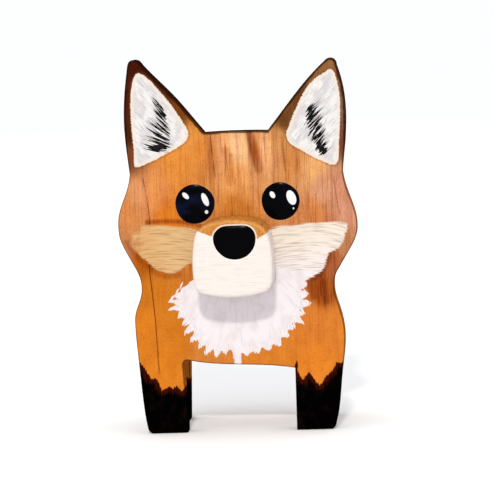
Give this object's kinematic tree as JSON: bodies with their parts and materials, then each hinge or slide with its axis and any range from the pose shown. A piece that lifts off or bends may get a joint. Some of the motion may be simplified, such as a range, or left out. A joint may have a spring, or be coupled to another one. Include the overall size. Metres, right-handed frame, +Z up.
{
  "type": "eyeglasses display stand",
  "caption": "Painted wooden stand in the shape of a standing fox, with a projecting muzzle block that holds a pair of eyeglasses.",
  "frame": {"origin": "on the ground, under the centre of the whole stand's bounding box", "axes": "+Z up, -Y the way the fox faces, +X to the right of a viewer who looks at its face"},
  "size_m": [0.0954, 0.067, 0.15],
  "materials": {
    "fox_paint": "satin",
    "muzzle_paint": "satin",
    "rump_paint": "satin",
    "stained_wood": "satin",
    "dowel_wood": "matte",
    "white_paint": "matte",
    "black_paint": "satin",
    "gloss_black_enamel": "gloss"
  },
  "bodies": {
    "root": {"front_board": "fox_paint", "muzzle_block": "muzzle_paint", "spine_block": "stained_wood", "rear_board": "rump_paint", "muzzle_dowel_left": "dowel_wood", "muzzle_dowel_right": "dowel_wood", "front_spine_dowel_left": "dowel_wood", "front_spine_dowel_right": "dowel_wood", "rear_spine_dowel_left": "dowel_wood", "rear_spine_dowel_right": "dowel_wood"}
  },
  "joints": []
}
